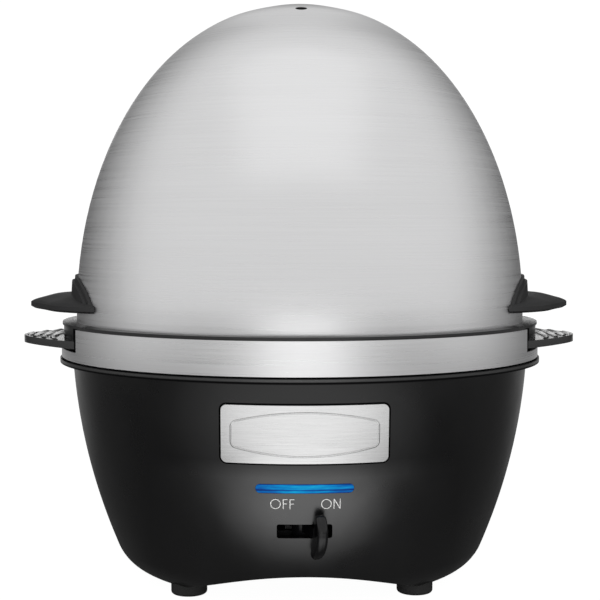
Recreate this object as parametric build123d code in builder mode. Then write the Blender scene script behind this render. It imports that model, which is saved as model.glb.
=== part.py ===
from build123d import *
from math import asin, cos, degrees, radians, sin, sqrt
import os

os.makedirs("parts", exist_ok=True)

# Electric egg cooker: a black bowl-shaped base with a steel band round its top, an egg
# rack with two ribbed handles that lies on it, and an egg-shaped steel lid on the rack.
# Sizes are in millimetres. The floor is z = 0, the axis is Z and the front faces -Y.

# Clearances
sheet_gap = 0.1
drop_in_gap = 1.0
slide_gap = 0.3
fixed_gap = 0.4
pin_gap = 0.05
facet_gap = 0.15

# Bowl of the base
bowl_bottom = 2.0
bowl_top = 83.9
bowl_inset = 3.7
bowl_lean = 3.82
bowl_side_arc = 224.8
bowl_corner_arc = 16.35
bowl_wall = 2.4
bottom_opening_radius = 50.0
arch_crown = 13.65
arch_radius = 101.0
flange_lip = 0.8
flange_thickness = 1.6

# Upper frame and the steel band round it
frame_height = 13.0
frame_outer_radius = 93.1
frame_width = 5.9
frame_wall = 1.7
frame_roof = 2.0
frame_step_height = 0.7
frame_step_width = 0.5
ledge_width = 10.0
ledge_thickness = 2.2
band_sheet = 0.6
band_top_gap = 0.3
notch_half_angle = 27.5
notch_depth = 8.8
notch_end_wall = 3.0

# Heating pan and its seal
seal_thickness = 0.9
seal_setback = 0.8
pan_sheet = 1.2
pan_rim_gap = 0.6
pan_mouth_gap = 1.4
pan_slope = 11.8
pan_depth = 13.0
pan_rim_thickness = 1.0
stud_radius = 2.0
stud_circle_radius = 34.0
stud_length = 14.5
stud_count = 3

# Heater, reflector and the parts that guard it
element_ring_radius = 50.0
element_tube_radius = 3.2
element_gap_angle = 36.0
element_bend_radius = 5.0
element_leg_length = 10.0
terminal_collar_radius = 2.6
terminal_collar_length = 4.0
terminal_tab_width = 6.3
terminal_tab_thickness = 0.8
terminal_tab_length = 8.0
shield_radius = 60.0
shield_sheet = 0.8
shield_rim_height = 6.0
shield_saddle_width = 8.0
shield_saddle_length = 5.0
nut_height = 2.5
nut_across_corners = 7.4
thermostat_radius = 8.0
thermostat_height = 8.0
thermostat_tab_length = 6.0
clip_sheet = 1.0
clip_width = 8.0
clip_span = 36.0
clip_foot = 4.0
fuse_radius = 2.2
fuse_length = 14.0
fuse_offset = 18.0
fuse_clip_width = 6.0
fuse_clip_wall = 1.4

# Egg rack
rim_thickness = 0.9
rim_overhang = 0.3
rack_wall_thickness = 1.6
rack_floor_thickness = 1.6
rack_floor_gap = 0.4
egg_hole_radius = 17.0
egg_seat_flare = 1.2
egg_seat_angle = 60.0
egg_collar_wall = 2.2
egg_collar_height = 2.0
outer_egg_count = 8
outer_egg_inset = 23.3
inner_egg_offset = 22.0
steam_hole_radius = 3.5
steam_hole_inset = 10.2
bead_height = 1.8
bead_width = 1.1
saddle_half_angle = 24.0
saddle_inset = 0.2
saddle_wall = 1.7
rack_handle_reach = 16.5
rack_handle_side = (7.2, 20.8)
rack_handle_flank = (1.8, 27.8)
rack_handle_shoulder = (-3.9, 34.2)
rack_handle_end = (-8.4, 38.4)
rack_handle_thickness = 2.8
rib_rise = 0.5
rib_width = 2.4
rib_pitch = 3.5
rib_count = 4
rib_start = 4.3
rib_inset = 1.3

# Lid
lid_inset = 5.2
lid_sheet = 0.8
lid_height = 123.3
lid_skirt = 2.8
lid_side_power = 1.984
lid_crown_power = 2.155
lid_curve_points = 12
vent_radius = 2.1
vent_offset = 26.8
pad_thickness = 2.2
pad_edge_thickness = 1.2
pad_edge_width = 1.9
pad_height = 13.2
pad_half_width = 43.5
pad_side_power = 3.4
pad_crown_power = 1.3
pad_curve_steps = 7
wing_underside = 4.7
wing_edge = 2.4
wing_edge_round = 0.8
wing_reach = 18.8
wing_side = (12.1, 17.2)
wing_flank = (5.1, 31.6)
wing_shoulder = (-4.3, 40.9)
wing_end = (-10.7, 44.6)
wing_root_depth = 13.9
wing_steps = ((3.1, 0.965), (4.0, 0.88), (5.1, 0.755), (5.9, 0.615), (6.2, 0.51))
handle_screw_angle = 9.5
handle_screw_level = 7.6
handle_screw_length = 7.5
washer_radius = 4.0
washer_thickness = 1.0

# Screws shared by the assembly
screw_radius = 1.5
screw_head_radius = 3.0
screw_head_height = 1.8

# Bottom cover, feet and cord inlet
cover_level = 15.5
cover_thickness = 2.0
cover_screw_inset = 3.9
cover_screw_angle = 22.0
cover_boss_width = 8.0
cover_boss_length = 24.0
cover_boss_height = 14.0
cover_slot_count = 7
cover_slot_length = 34.0
cover_slot_width = 3.0
cover_slot_pitch = 6.5
cover_slot_offset = 12.0
foot_radius = 6.7
foot_spacing = 84.0
foot_height = 8.5
foot_edge_round = 1.2
foot_post_radius = 8.2
foot_post_height = 6.0
gland_level = 28.0
gland_pad_radius = 9.0
gland_pad_rise = 3.57
gland_pad_thickness = 4.0
gland_barrel_radius = 5.4
gland_barrel_length = 8.0
gland_bore_radius = 3.3
gland_flange_radius = 7.6
gland_flange_thickness = 2.2
gland_nut_thickness = 2.6
terminal_block_size = (20.0, 10.0, 8.0)
terminal_block_offset = 50.0
frame_screw_inset = 4.6
frame_screw_length = 12.0
frame_boss_width = 7.0
frame_boss_length = 21.0
frame_boss_height = 18.0

# Front fittings: badge plate, indicator light and lever switch
badge_width = 57.2
badge_height = 20.2
badge_corner = 2.0
badge_level = 66.0
badge_recess = 1.0
badge_proud = 0.6
badge_gap = 0.6
lens_width = 33.7
lens_height = 3.2
lens_level = 46.9
lens_lip = 1.6
lens_lip_thickness = 0.8
lens_proud = 0.15
board_size = (42.0, 1.6, 14.0)
board_depth = 9.23
board_screw_spacing = 34.0
board_post_radius = 2.4
board_post_rise = 6.4
board_screw_radius = 0.9
led_size = (4.0, 2.4, 2.8)
led_count = 3
led_pitch = 11.0
lever_slot_width = 19.2
lever_slot_height = 5.2
lever_slot_corner = 0.8
lever_level = 31.3
lever_angle = 18.5
pivot_depth = 12.1
lever_pin_radius = 1.5
lever_hub_radius = 4.2
lever_hub_height = 7.8
lever_neck_width = 4.0
lever_neck_height = 3.6
fin_reach = 20.4
fin_clearance = 1.5
fin_height = 18.6
fin_drop = 0.9
fin_tip_rise = 0.9
fin_thickness = 3.8
fin_corner = 2.0
fin_round = 1.5
fork_reach = 9.0
fork_length = 11.6
fork_width = 6.4
fork_height = 3.0
slider_pin_radius = 1.2
slider_plate = (7.0, 6.0, 1.2)
slider_tongue = (4.0, 3.0, 2.0)
switch_size = (24.0, 9.0, 8.0)
bracket_thickness = 2.5
bracket_width = 38.0
bracket_depth = 15.0
bracket_screw_spacing = 31.0
pin_head_radius = 3.2
pin_head_height = 0.8

# Levels, from the floor up
flange_top = bowl_top + flange_thickness
frame_top = flange_top + frame_height
rim_top = frame_top + rim_thickness
notch_level = frame_top - notch_depth
band_bottom = flange_top + frame_step_height
band_top = frame_top - band_top_gap
ledge_top = flange_top + ledge_thickness
pan_rim_bottom = ledge_top + seal_thickness
pan_rim_top = pan_rim_bottom + pan_rim_thickness
pan_floor_top = pan_rim_top - pan_depth
pan_underside = pan_floor_top - pan_sheet
rack_bottom = pan_rim_top + rack_floor_gap
rack_floor_top = rack_bottom + rack_floor_thickness
element_level = pan_underside - element_tube_radius - fixed_gap
shield_top = pan_underside - thermostat_height - 2 * clip_sheet
shield_bottom = shield_top - shield_sheet
cover_top = cover_level + cover_thickness
bracket_top = cover_top + bracket_thickness
switch_top = bracket_top + switch_size[2]

# Radii that follow from the frame's
flange_radius = frame_outer_radius + frame_step_width + flange_lip
frame_inner_radius = frame_outer_radius - frame_width
ledge_inner_radius = frame_inner_radius - ledge_width
frame_screw_circle = ledge_inner_radius + frame_screw_inset
bowl_top_radius = frame_outer_radius - bowl_inset
seal_inner_radius = ledge_inner_radius + seal_setback
pan_rim_radius = frame_inner_radius - pan_rim_gap
pan_mouth_radius = ledge_inner_radius - pan_mouth_gap
pan_floor_radius = pan_mouth_radius - pan_slope
band_inner_radius = frame_outer_radius + sheet_gap
band_outer_radius = band_inner_radius + band_sheet
rack_wall_radius = frame_inner_radius - drop_in_gap
rim_radius = frame_outer_radius + rim_overhang
saddle_outer_radius = frame_outer_radius - saddle_inset
outer_egg_circle = rack_wall_radius - outer_egg_inset
steam_hole_circle = rack_wall_radius - steam_hole_inset
lid_radius = frame_outer_radius - lid_inset
lid_inner_radius = lid_radius - lid_sheet
bead_outer_radius = lid_inner_radius - fixed_gap - facet_gap
bowl_side_centre = (
    bowl_top_radius - bowl_side_arc * cos(radians(bowl_lean)),
    bowl_top + bowl_side_arc * sin(radians(bowl_lean)),
)
bowl_corner_lean = degrees(
    asin((bowl_side_centre[1] - bowl_bottom - bowl_corner_arc) / (bowl_side_arc - bowl_corner_arc))
)
bowl_corner_centre = (
    bowl_side_centre[0] + (bowl_side_arc - bowl_corner_arc) * cos(radians(bowl_corner_lean)),
    bowl_bottom + bowl_corner_arc,
)


def on_arc(centre, radius, lean):
    """Point of an arc in the section, with its lean measured down from the horizontal."""
    return (centre[0] + radius * cos(radians(lean)), centre[1] - radius * sin(radians(lean)))


def bowl_radius(level, inset=0.0):
    """Radius of the bowl's side at a level, with its skin set in by inset."""
    drop = bowl_side_centre[1] - level
    return bowl_side_centre[0] + sqrt((bowl_side_arc - inset) ** 2 - drop**2)


# Places measured from the bowl's wall
cover_radius = bowl_radius(cover_level, bowl_wall) - fixed_gap
cover_screw_circle = cover_radius - cover_screw_inset
board_front = bowl_radius(lens_level) - board_depth
gland_pad_face = bowl_radius(gland_level) + gland_pad_rise
pivot_offset = bowl_radius(lever_level) - pivot_depth

# Angles about the axis where pieces stand
side_angles = (0, 180)
front_and_back = (90, -90)
corner_angle = 45


def bowl_outline(inset, top):
    """Half section of the bowl with its skin set in by inset, closed along the axis."""
    side = bowl_side_arc - inset
    corner = bowl_corner_arc - inset
    middle_lean = (bowl_lean + bowl_corner_lean) / 2
    corner_lean = (bowl_corner_lean + 90) / 2
    bottom_point = on_arc(bowl_corner_centre, corner, 90)
    corner_point = on_arc(bowl_corner_centre, corner, bowl_corner_lean)
    top_point = on_arc(bowl_side_centre, side, bowl_lean)
    Line((0, bottom_point[1]), bottom_point)
    ThreePointArc(bottom_point, on_arc(bowl_corner_centre, corner, corner_lean), corner_point)
    ThreePointArc(corner_point, on_arc(bowl_side_centre, side, middle_lean), top_point)
    Polyline(top_point, (top_point[0], top), (0, top), (0, bottom_point[1]))


def lid_point(turn, growth):
    """Point of the lid's curve at a turn of 0 to 90 degrees, with the surface grown."""
    crown = lid_height - lid_skirt + growth
    radius = (lid_radius + growth) * max(cos(radians(turn)), 0) ** (2 / lid_crown_power)
    level = rim_top + lid_skirt + crown * sin(radians(turn)) ** (2 / lid_side_power)
    return (radius, level)


def lid_radius_at(level, growth):
    """Radius of the lid at a level above its skirt, with the surface grown."""
    share = (level - rim_top - lid_skirt) / (lid_height - lid_skirt + growth)
    return (lid_radius + growth) * (1 - share**lid_side_power) ** (1 / lid_crown_power)


def lid_outline(growth, bottom):
    """Half section of the lid's outside, grown by growth, closed along the axis."""
    turns = [90 * step / lid_curve_points for step in range(lid_curve_points)]
    points = [lid_point(turn, growth) for turn in turns]
    apex = (0, rim_top + lid_height + growth)
    Line((points[0][0], bottom), points[0])
    Spline(*points, apex, tangents=((0, 1), (-1, 0)))
    Polyline(apex, (0, bottom), (points[0][0], bottom))


def ring_sector(inner, outer, half_angle, middle=0.0):
    """Outline of a sector of a ring about the axis."""
    start = middle - half_angle
    sweep_angle = 2 * half_angle
    inner_arc = CenterArc((0, 0), inner, start, sweep_angle)
    outer_arc = CenterArc((0, 0), outer, start, sweep_angle)
    Line(inner_arc @ 0, outer_arc @ 0)
    Line(inner_arc @ 1, outer_arc @ 1)


def scaled_outline(corners, radius, reach, root, share):
    """Points from front to back of an outline outside a radius, scaled towards its root."""
    back = [(root + (radius + x - root) * share, y * share) for x, y in corners]
    front = [(x, -y) for x, y in back]
    return [*front, (root + (radius + reach - root) * share, 0), *reversed(back)]


def rack_handle_outline(share):
    """Plan of the right rack handle, scaled by share towards its root on the saddle."""
    root = saddle_outer_radius - sheet_gap
    corners = [rack_handle_end, rack_handle_shoulder, rack_handle_flank, rack_handle_side]
    points = scaled_outline(corners, saddle_outer_radius, rack_handle_reach, root, share)
    Spline(*points)
    ThreePointArc(points[-1], (root, 0), points[0])


def wing_outline(share):
    """Plan of the right lid handle's wing, scaled by share towards its root."""
    corners = [wing_end, wing_shoulder, wing_flank, wing_side]
    root = lid_radius - wing_root_depth
    points = scaled_outline(corners, lid_radius, wing_reach, root, share)
    inner = root - 2 * pad_thickness
    Spline(*points)
    back_end, front_end = points[-1], points[0]
    inner_width = back_end[1] - pad_thickness
    Polyline(back_end, (inner, inner_width), (inner, -inner_width), front_end)


def pad_outline(inset):
    """View along X of the pad that the lid handle lies on the lid with, set in by inset."""
    base = rim_top + wing_underside
    points = []
    for step in range(-pad_curve_steps, pad_curve_steps + 1):
        turn = radians(90 * abs(step) / pad_curve_steps)
        across = (pad_half_width - inset) * sin(turn) ** (2 / pad_side_power)
        rise = (pad_height - inset) * max(cos(turn), 0) ** pad_crown_power
        points.append((across if step > 0 else -across, base + rise))
    Spline(*points)
    Line(points[-1], points[0])


# Cavity of the base housing: the inner bowl without the posts and bosses that stand in it
with BuildPart() as cavity:
    with BuildSketch(Plane.XZ):
        with BuildLine():
            bowl_outline(bowl_wall, flange_top)
        make_face()
    revolve(axis=Axis.Z)
    with BuildSketch(Plane.XY):
        with GridLocations(foot_spacing, foot_spacing, 2, 2):
            Circle(foot_post_radius)
    extrude(amount=foot_height + foot_post_height, mode=Mode.SUBTRACT)
    with BuildSketch(Plane.XY.offset(cover_top)):
        for side in (1, -1):
            boss_middle = cover_screw_circle + (cover_boss_length - cover_boss_width) / 2
            with PolarLocations(boss_middle, 2, start_angle=side * cover_screw_angle):
                SlotOverall(cover_boss_length, cover_boss_width)
    extrude(amount=cover_boss_height, mode=Mode.SUBTRACT)
    with BuildSketch(Plane.XY.offset(flange_top)):
        boss_middle = frame_screw_circle + (frame_boss_length - frame_boss_width) / 2
        with PolarLocations(boss_middle, 4, start_angle=corner_angle):
            SlotOverall(frame_boss_length, frame_boss_width)
    extrude(amount=-frame_boss_height, mode=Mode.SUBTRACT)
    with BuildSketch(Plane.XZ.offset(board_front)):
        with Locations((0, lens_level + board_post_rise)):
            with GridLocations(board_screw_spacing, 1, 2, 1):
                Circle(board_post_radius)
    extrude(amount=bowl_top_radius - board_front, mode=Mode.SUBTRACT)

# Recess that the badge plate lies in, deeper than the wall's face by badge_recess
with BuildPart() as badge_pocket:
    with BuildSketch(Plane.XZ):
        with Locations((0, badge_level)):
            RectangleRounded(
                badge_width + 2 * badge_gap, badge_height + 2 * badge_gap, badge_corner + badge_gap
            )
    extrude(amount=bowl_top_radius)
    with BuildSketch(Plane.XZ):
        with BuildLine():
            bowl_outline(badge_recess, flange_top)
        make_face()
    revolve(axis=Axis.Z, mode=Mode.SUBTRACT)

# Base housing: moulded bowl with its flange, arches, bosses and front openings
with BuildPart() as base_housing:
    with BuildSketch(Plane.XZ):
        with BuildLine():
            bowl_outline(0, flange_top)
        make_face()
        with Locations((0, bowl_top)):
            Rectangle(flange_radius, flange_thickness, align=(Align.MIN, Align.MIN))
    revolve(axis=Axis.Z)
    add(cavity.part, mode=Mode.SUBTRACT)
    with BuildSketch(Plane.XY):
        Circle(bottom_opening_radius)
    extrude(amount=bowl_bottom + 2 * bowl_wall, mode=Mode.SUBTRACT)
    with BuildSketch(Plane.XZ):
        with Locations((0, arch_crown - arch_radius)):
            Circle(arch_radius)
    extrude(amount=bowl_top_radius, both=True, mode=Mode.SUBTRACT)
    with BuildSketch(Plane.XY):
        with GridLocations(foot_spacing, foot_spacing, 2, 2):
            Circle(foot_radius + fixed_gap / 2)
    extrude(amount=foot_height, mode=Mode.SUBTRACT)
    with BuildSketch(Plane.XY):
        with GridLocations(foot_spacing, foot_spacing, 2, 2):
            Circle(screw_radius)
    extrude(amount=foot_height + foot_post_height - bowl_wall / 2, mode=Mode.SUBTRACT)
    with BuildSketch(Plane.XY.offset(cover_top)):
        for side in (1, -1):
            with PolarLocations(cover_screw_circle, 2, start_angle=side * cover_screw_angle):
                Circle(screw_radius)
    extrude(amount=cover_boss_height - bowl_wall, mode=Mode.SUBTRACT)
    with BuildSketch(Plane.XY.offset(flange_top)):
        with PolarLocations(frame_screw_circle, 4, start_angle=corner_angle):
            Circle(screw_radius)
    extrude(amount=-(frame_screw_length + bowl_wall), mode=Mode.SUBTRACT)
    with BuildSketch(Plane.XZ.offset(pivot_offset)):
        with Locations((0, lever_level)):
            RectangleRounded(lever_slot_width, lever_slot_height, lever_slot_corner)
        with Locations((0, lens_level)):
            SlotOverall(lens_width + 2 * sheet_gap, lens_height + 2 * sheet_gap)
    extrude(amount=bowl_top_radius - pivot_offset, mode=Mode.SUBTRACT)
    with BuildSketch(Plane.XZ.offset(board_front)):
        with Locations((0, lens_level + board_post_rise)):
            with GridLocations(board_screw_spacing, 1, 2, 1):
                Circle(board_screw_radius)
    extrude(amount=bowl_wall, mode=Mode.SUBTRACT)
    add(badge_pocket.part, mode=Mode.SUBTRACT)
    with BuildSketch(Plane.XZ.offset(-gland_pad_face)):
        with Locations((0, gland_level)):
            Circle(gland_pad_radius)
    extrude(amount=gland_pad_thickness)
    with BuildSketch(Plane.XZ.offset(-gland_pad_face)):
        with Locations((0, gland_level)):
            Circle(gland_barrel_radius + fixed_gap / 2)
    extrude(amount=gland_pad_thickness, mode=Mode.SUBTRACT)
    with BuildSketch(Plane.XZ.offset(gland_pad_thickness - gland_pad_face)):
        with Locations((0, gland_level)):
            Circle(gland_flange_radius + fixed_gap)
    extrude(amount=gland_barrel_length, mode=Mode.SUBTRACT)
base_housing.part.label = "base_housing"
export_step(base_housing.part, "parts/base_housing.step")

# Upper frame: hollow black collar on the flange, with a ledge inside for the pan and a
# notch at each side for the rack's handles
with BuildPart() as upper_frame:
    with BuildSketch(Plane.XZ):
        with Locations((frame_inner_radius, flange_top)):
            Rectangle(frame_width, frame_height, align=(Align.MIN, Align.MIN))
        with Locations((frame_outer_radius, flange_top)):
            Rectangle(frame_step_width, frame_step_height, align=(Align.MIN, Align.MIN))
        with Locations((ledge_inner_radius, flange_top)):
            Rectangle(ledge_width, ledge_thickness, align=(Align.MIN, Align.MIN))
    revolve(axis=Axis.Z)
    channel_half_angle = 90 - notch_half_angle - notch_end_wall
    with BuildSketch(Plane.XY.offset(flange_top)):
        for middle in front_and_back:
            with BuildLine():
                ring_sector(
                    frame_inner_radius + frame_wall, frame_outer_radius - frame_wall,
                    channel_half_angle, middle,
                )
            make_face()
    extrude(amount=frame_height - frame_roof, mode=Mode.SUBTRACT)
    with BuildSketch(Plane.XY.offset(notch_level)):
        for middle in side_angles:
            with BuildLine():
                ring_sector(pan_mouth_radius, flange_radius, notch_half_angle, middle)
            make_face()
    extrude(amount=notch_depth, mode=Mode.SUBTRACT)
    with BuildSketch(Plane.XY.offset(flange_top)):
        with PolarLocations(frame_screw_circle, 4, start_angle=corner_angle):
            Circle(screw_radius + sheet_gap)
    extrude(amount=ledge_thickness, mode=Mode.SUBTRACT)
    with BuildSketch(Plane.XY.offset(ledge_top)):
        with PolarLocations(frame_screw_circle, 4, start_angle=corner_angle):
            Circle(screw_head_radius + slide_gap)
    extrude(amount=-ledge_thickness / 2, mode=Mode.SUBTRACT)
upper_frame.part.label = "upper_frame"
export_step(upper_frame.part, "parts/upper_frame.step")

# Screws that hold the frame to the bosses inside the housing
with BuildPart() as frame_screws:
    with BuildSketch(Plane.XY.offset(ledge_top - ledge_thickness / 2)):
        with PolarLocations(frame_screw_circle, 4, start_angle=corner_angle):
            Circle(screw_head_radius)
    extrude(amount=ledge_thickness / 2 - sheet_gap)
    with BuildSketch(Plane.XY.offset(ledge_top - ledge_thickness / 2)):
        with PolarLocations(frame_screw_circle, 4, start_angle=corner_angle):
            Circle(screw_radius)
    extrude(amount=-frame_screw_length)
frame_screws.part.label = "frame_screws"
export_step(frame_screws.part, "parts/frame_screws.step")

# Steel band, cut out over the frame's notches
with BuildPart() as steel_band:
    with BuildSketch(Plane.XY.offset(band_bottom)):
        Circle(band_outer_radius)
        Circle(band_inner_radius, mode=Mode.SUBTRACT)
    extrude(amount=band_top - band_bottom)
    with BuildSketch(Plane.XY.offset(notch_level)):
        for middle in side_angles:
            with BuildLine():
                ring_sector(frame_inner_radius, flange_radius, notch_half_angle, middle)
            make_face()
    extrude(amount=notch_depth, mode=Mode.SUBTRACT)
steel_band.part.label = "steel_band"
export_step(steel_band.part, "parts/steel_band.step")

# Silicone seal between the ledge and the pan's rim
with BuildPart() as pan_seal:
    with BuildSketch(Plane.XY.offset(ledge_top)):
        Circle(pan_rim_radius - fixed_gap)
        Circle(seal_inner_radius, mode=Mode.SUBTRACT)
    extrude(amount=seal_thickness)
pan_seal.part.label = "pan_seal"
export_step(pan_seal.part, "parts/pan_seal.step")

# Heating pan: shallow dish for the water, with studs below that carry the reflector
with BuildPart() as heating_pan:
    with BuildSketch(Plane.XZ):
        with BuildLine():
            Polyline(
                (0, pan_underside), (pan_floor_radius, pan_underside),
                (pan_mouth_radius, pan_rim_bottom), (pan_rim_radius, pan_rim_bottom),
                (pan_rim_radius, pan_rim_top), (pan_mouth_radius - pan_sheet, pan_rim_top),
                (pan_floor_radius - pan_sheet, pan_floor_top), (0, pan_floor_top),
                (0, pan_underside),
            )
        make_face()
    revolve(axis=Axis.Z)
    with BuildSketch(Plane.XY.offset(pan_underside)):
        with PolarLocations(stud_circle_radius, stud_count, start_angle=-90):
            Circle(stud_radius)
    extrude(amount=-stud_length)
heating_pan.part.label = "heating_pan"
export_step(heating_pan.part, "parts/heating_pan.step")

# Tubular heating element: an open ring under the pan, with two legs turned down at the back
half_gap = radians(element_gap_angle / 2)
ring_end = (element_ring_radius * sin(half_gap), element_ring_radius * cos(half_gap))
leg_place = (
    ring_end[0] - element_bend_radius * cos(half_gap),
    ring_end[1] + element_bend_radius * sin(half_gap),
)
bend_middle = (
    ring_end[0] - element_bend_radius * cos(half_gap) * sin(radians(45)),
    ring_end[1] + element_bend_radius * sin(half_gap) * sin(radians(45)),
    element_level - element_bend_radius * (1 - cos(radians(45))),
)
leg_top = element_level - element_bend_radius
leg_bottom = leg_top - element_leg_length
leg_places = (leg_place, (-leg_place[0], leg_place[1]))
with BuildPart() as heating_element:
    with BuildLine() as element_path:
        Line((*leg_place, leg_bottom), (*leg_place, leg_top))
        ThreePointArc((*leg_place, leg_top), bend_middle, (*ring_end, element_level))
        ThreePointArc(
            (*ring_end, element_level), (0, -element_ring_radius, element_level),
            (-ring_end[0], ring_end[1], element_level),
        )
        ThreePointArc(
            (-ring_end[0], ring_end[1], element_level), (-bend_middle[0], bend_middle[1], bend_middle[2]),
            (-leg_place[0], leg_place[1], leg_top),
        )
        Line((-leg_place[0], leg_place[1], leg_top), (-leg_place[0], leg_place[1], leg_bottom))
    with BuildSketch(Plane.XY.offset(leg_bottom)):
        with Locations(leg_place):
            Circle(element_tube_radius)
    sweep()
heating_element.part.label = "heating_element"
export_step(heating_element.part, "parts/heating_element.step")

# Terminals on the element's legs: a collar and a flat push-on tab each
with BuildPart() as element_terminals:
    with BuildSketch(Plane.XY.offset(leg_bottom)):
        with Locations(*leg_places):
            Circle(terminal_collar_radius)
    extrude(amount=-terminal_collar_length)
    with BuildSketch(Plane.XY.offset(leg_bottom - terminal_collar_length)):
        with Locations(*leg_places):
            Rectangle(terminal_tab_thickness, terminal_tab_width)
    extrude(amount=-terminal_tab_length)
element_terminals.part.label = "element_terminals"
export_step(element_terminals.part, "parts/element_terminals.step")

# Reflector under the element, with raised saddles that the element rests on
with BuildPart() as heat_shield:
    with BuildSketch(Plane.XY.offset(shield_bottom)):
        Circle(shield_radius)
    extrude(amount=shield_sheet)
    with BuildSketch(Plane.XY.offset(shield_bottom)):
        Circle(shield_radius)
        Circle(shield_radius - shield_sheet, mode=Mode.SUBTRACT)
    extrude(amount=shield_rim_height)
    with BuildSketch(Plane.XY.offset(shield_bottom)):
        with PolarLocations(element_ring_radius, stud_count, start_angle=-90):
            Rectangle(shield_saddle_width, shield_saddle_length)
    extrude(amount=element_level - element_tube_radius - sheet_gap - shield_bottom)
    with BuildSketch(Plane.XY.offset(shield_bottom)):
        with PolarLocations(stud_circle_radius, stud_count, start_angle=-90):
            Circle(stud_radius + sheet_gap)
        with Locations(*leg_places):
            Circle(element_tube_radius + drop_in_gap)
    extrude(amount=shield_sheet, mode=Mode.SUBTRACT)
heat_shield.part.label = "heat_shield"
export_step(heat_shield.part, "parts/heat_shield.step")

# Nuts that hold the reflector on the pan's studs
with BuildPart() as shield_nuts:
    with BuildSketch(Plane.XY.offset(shield_bottom)):
        with PolarLocations(stud_circle_radius, stud_count, start_angle=-90):
            RegularPolygon(nut_across_corners / 2, 6)
            Circle(stud_radius + pin_gap, mode=Mode.SUBTRACT)
    extrude(amount=-nut_height)
shield_nuts.part.label = "shield_nuts"
export_step(shield_nuts.part, "parts/shield_nuts.step")

# Disc thermostat pressed against the middle of the pan
with BuildPart() as thermostat:
    with BuildSketch(Plane.XY.offset(pan_underside)):
        Circle(thermostat_radius)
    extrude(amount=-thermostat_height)
    with BuildSketch(Plane.XY.offset(pan_underside - thermostat_height / 2)):
        Rectangle(terminal_tab_width, 2 * (thermostat_radius + thermostat_tab_length))
    extrude(amount=terminal_tab_thickness)
thermostat.part.label = "thermostat"
export_step(thermostat.part, "parts/thermostat.step")

# Spring clip that bridges from the reflector to the thermostat
with BuildPart() as thermostat_clip:
    with BuildSketch(Plane.XY.offset(shield_top + clip_sheet)):
        Rectangle(clip_span, clip_width)
    extrude(amount=clip_sheet)
    with BuildSketch(Plane.XY.offset(shield_top)):
        with GridLocations(clip_span - clip_foot, 1, 2, 1):
            Rectangle(clip_foot, clip_width)
    extrude(amount=clip_sheet)
thermostat_clip.part.label = "thermostat_clip"
export_step(thermostat_clip.part, "parts/thermostat_clip.step")

# Thermal fuse in its clip under the reflector
fuse_level = shield_bottom - fuse_clip_wall - fuse_radius
with BuildPart() as thermal_fuse:
    with BuildSketch(Plane.YZ.offset(-fuse_length / 2)):
        with Locations((fuse_offset, fuse_level)):
            Circle(fuse_radius)
    extrude(amount=fuse_length)
thermal_fuse.part.label = "thermal_fuse"
export_step(thermal_fuse.part, "parts/thermal_fuse.step")

with BuildPart() as fuse_clip:
    with BuildSketch(Plane.YZ.offset(-fuse_clip_width / 2)):
        with Locations((fuse_offset, fuse_level)):
            Rectangle(2 * (fuse_radius + fuse_clip_wall), 2 * (fuse_radius + fuse_clip_wall))
            Circle(fuse_radius + pin_gap, mode=Mode.SUBTRACT)
    extrude(amount=fuse_clip_width)
fuse_clip.part.label = "fuse_clip"
export_step(fuse_clip.part, "parts/fuse_clip.step")

# Badge plate: bare metal plate that follows the bowl's side
with BuildPart() as badge_plate:
    with BuildSketch(Plane.XZ):
        with BuildLine():
            bowl_outline(-badge_proud, flange_top)
        make_face()
        with BuildLine():
            bowl_outline(badge_recess, flange_top)
        make_face(mode=Mode.SUBTRACT)
    revolve(axis=Axis.Z)
    with BuildSketch(Plane.XZ):
        with Locations((0, badge_level)):
            RectangleRounded(badge_width, badge_height, badge_corner)
    extrude(amount=flange_radius, mode=Mode.INTERSECT)
badge_plate.part.label = "badge_plate"
export_step(badge_plate.part, "parts/badge_plate.step")

# Lens of the indicator light: a rounded bar through the wall with a lip behind it
with BuildPart() as lens_lip_solid:
    with BuildSketch(Plane.XZ):
        with BuildLine():
            bowl_outline(bowl_wall, flange_top)
        make_face()
        with BuildLine():
            bowl_outline(bowl_wall + lens_lip_thickness, flange_top)
        make_face(mode=Mode.SUBTRACT)
    revolve(axis=Axis.Z)
    with BuildSketch(Plane.XZ):
        with Locations((0, lens_level)):
            SlotOverall(lens_width + 2 * lens_lip, lens_height + 2 * lens_lip)
    extrude(amount=flange_radius, mode=Mode.INTERSECT)

with BuildPart() as light_lens:
    with BuildSketch(Plane.XZ):
        with BuildLine():
            bowl_outline(-lens_proud, flange_top)
        make_face()
        with BuildLine():
            bowl_outline(bowl_wall, flange_top)
        make_face(mode=Mode.SUBTRACT)
    revolve(axis=Axis.Z)
    with BuildSketch(Plane.XZ):
        with Locations((0, lens_level)):
            SlotOverall(lens_width, lens_height)
    extrude(amount=flange_radius, mode=Mode.INTERSECT)
    add(lens_lip_solid.part)
light_lens.part.label = "light_lens"
export_step(light_lens.part, "parts/light_lens.step")

# Circuit board behind the lens, screwed to two posts, with its row of light-emitting diodes
with BuildPart() as light_board:
    with BuildSketch(Plane.XZ.offset(board_front)):
        with Locations((0, lens_level + board_post_rise / 2)):
            Rectangle(board_size[0], board_size[2])
        with Locations((0, lens_level + board_post_rise)):
            with GridLocations(board_screw_spacing, 1, 2, 1):
                Circle(board_screw_radius + sheet_gap, mode=Mode.SUBTRACT)
    extrude(amount=-board_size[1])
light_board.part.label = "light_board"
export_step(light_board.part, "parts/light_board.step")

with BuildPart() as light_leds:
    with BuildSketch(Plane.XZ.offset(board_front)):
        with Locations((0, lens_level)):
            with GridLocations(led_pitch, 1, led_count, 1):
                Rectangle(led_size[0], led_size[2])
    extrude(amount=led_size[1])
light_leds.part.label = "light_leds"
export_step(light_leds.part, "parts/light_leds.step")

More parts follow.
